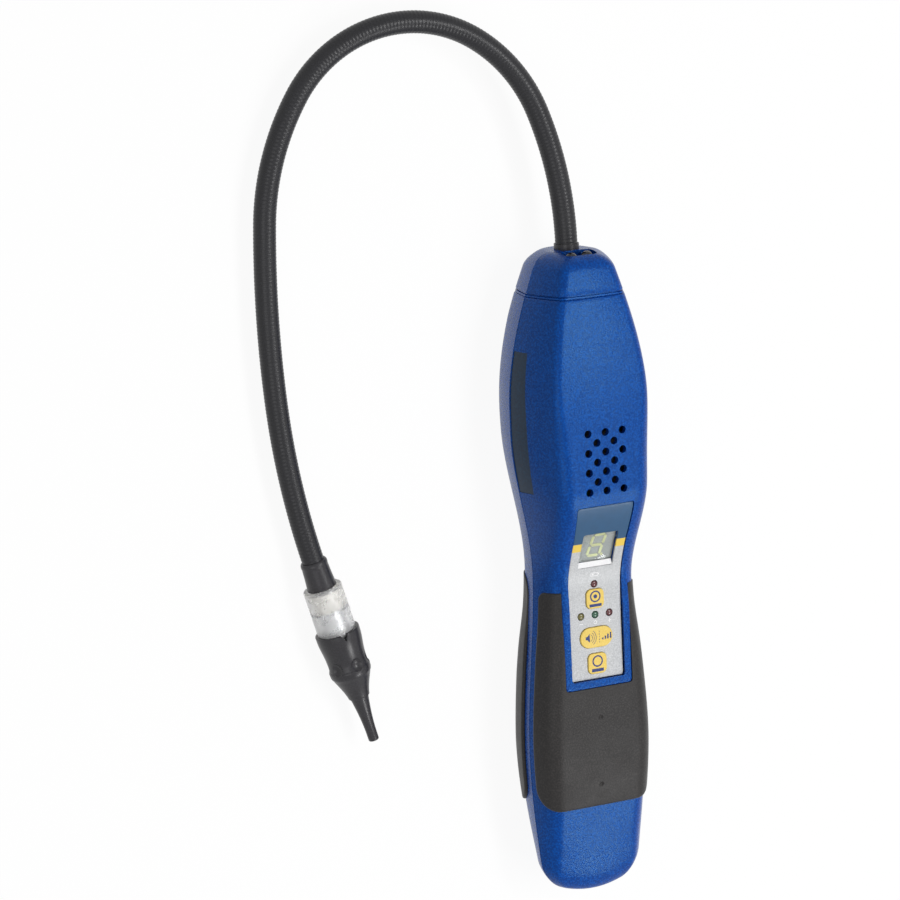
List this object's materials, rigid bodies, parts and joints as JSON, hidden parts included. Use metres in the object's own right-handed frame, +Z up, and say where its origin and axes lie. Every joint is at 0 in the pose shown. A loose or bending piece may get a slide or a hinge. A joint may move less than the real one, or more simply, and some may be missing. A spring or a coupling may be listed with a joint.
{
  "type": "refrigerant leak detector",
  "caption": "Handheld refrigerant leak detector with a rubber-gripped housing, digit display, round speaker grille, keys and a curved gooseneck probe with a clear sensor tip.",
  "frame": {"origin": "centre of the flat on the back of the head, which the detector rests on when it lies on its back", "axes": "+X to the right across the housing, +Y along the housing from the foot towards the gooseneck, +Z up out of the front face"},
  "size_m": [0.1461, 0.3264, 0.041],
  "materials": {
    "blue_shell": "fine spark-eroded texture, moulded blue",
    "grip_rubber": "soft overmoulded rubber, fine speckle",
    "panel_film": "printed silver-grey film",
    "window_lens": "clear",
    "display_body": "moulded grey",
    "segments": "pale unlit segments",
    "led_red": "smooth",
    "led_yellow": "smooth",
    "led_green": "smooth",
    "key_yellow": "silicone rubber keys",
    "bright_metal": "bright plated",
    "circuit_board": "solder mask",
    "speaker_black": "black cone and frame",
    "cell_can": "wrapped cell",
    "lamp_dark": "dark glossy lamp",
    "black_sleeve": "black heat-shrunk sleeve",
    "tip_black": "black moulded",
    "clear_plastic": "clear moulded",
    "socket_ivory": "ivory moulded",
    "sensor_can": "steel can",
    "seal_rubber": "black seal",
    "label_film": "dark teal film"
  },
  "bodies": {
    "housing": {"front_shell": "blue_shell", "rear_shell": "blue_shell", "end_cap": "blue_shell", "front_grip": "grip_rubber", "rear_grip": "grip_rubber", "panel_film": "panel_film", "display_window": "window_lens", "digit_display": "display_body", "digit_segments": "segments", "status_led_1": "led_red", "status_led_2": "led_yellow", "status_led_3": "led_green", "status_led_4": "led_red", "dome_switches": "bright_metal", "main_board": "circuit_board", "speaker": "speaker_black", "cell_1": "cell_can", "cell_2": "cell_can", "cell_3": "cell_can", "cell_4": "cell_can", "contact_springs": "bright_metal", "contact_plates": "bright_metal", "uv_led_1": "lamp_dark", "uv_led_2": "lamp_dark", "lamp_board": "circuit_board", "neck_collar": "black_sleeve", "neck_nut": "bright_metal", "neck_sleeve": "black_sleeve", "neck_core": "bright_metal", "ferrule": "tip_black", "clear_barrel": "clear_plastic", "sensor_socket": "socket_ivory", "barrel_ring": "seal_rubber", "side_label": "label_film", "case_screws": "bright_metal"},
    "battery_door": {"battery_door": "blue_shell"},
    "lamp_key": {"lamp_key": "key_yellow"},
    "sound_key": {"sound_key": "key_yellow"},
    "power_key": {"power_key": "key_yellow"},
    "tip_cap": {"tip_cap": "tip_black"},
    "sensor": {"sensor_element": "sensor_can"}
  },
  "joints": [
    {"name": "battery_door_lift", "type": "slide", "parent": "housing", "child": "battery_door", "axis": [0, 0, -1], "range_m": [0, 0.02]},
    {"name": "lamp_key_press", "type": "slide", "parent": "housing", "child": "lamp_key", "axis": [0, 0, -1], "range_m": [0, 0.0005], "stiffness_N_per_m": 600, "springref_m": -0.0005},
    {"name": "sound_key_press", "type": "slide", "parent": "housing", "child": "sound_key", "axis": [0, 0, -1], "range_m": [0, 0.0005], "stiffness_N_per_m": 600, "springref_m": -0.0005},
    {"name": "power_key_press", "type": "slide", "parent": "housing", "child": "power_key", "axis": [0, 0, -1], "range_m": [0, 0.0005], "stiffness_N_per_m": 600, "springref_m": -0.0005},
    {"name": "tip_cap_pull", "type": "slide", "parent": "housing", "child": "tip_cap", "axis": [0.2781, -0.9603, 0.0229], "range_m": [0, 0.022]},
    {"name": "sensor_pull", "type": "slide", "parent": "housing", "child": "sensor", "axis": [0.2781, -0.9603, 0.0229], "range_m": [0, 0.008]}
  ]
}
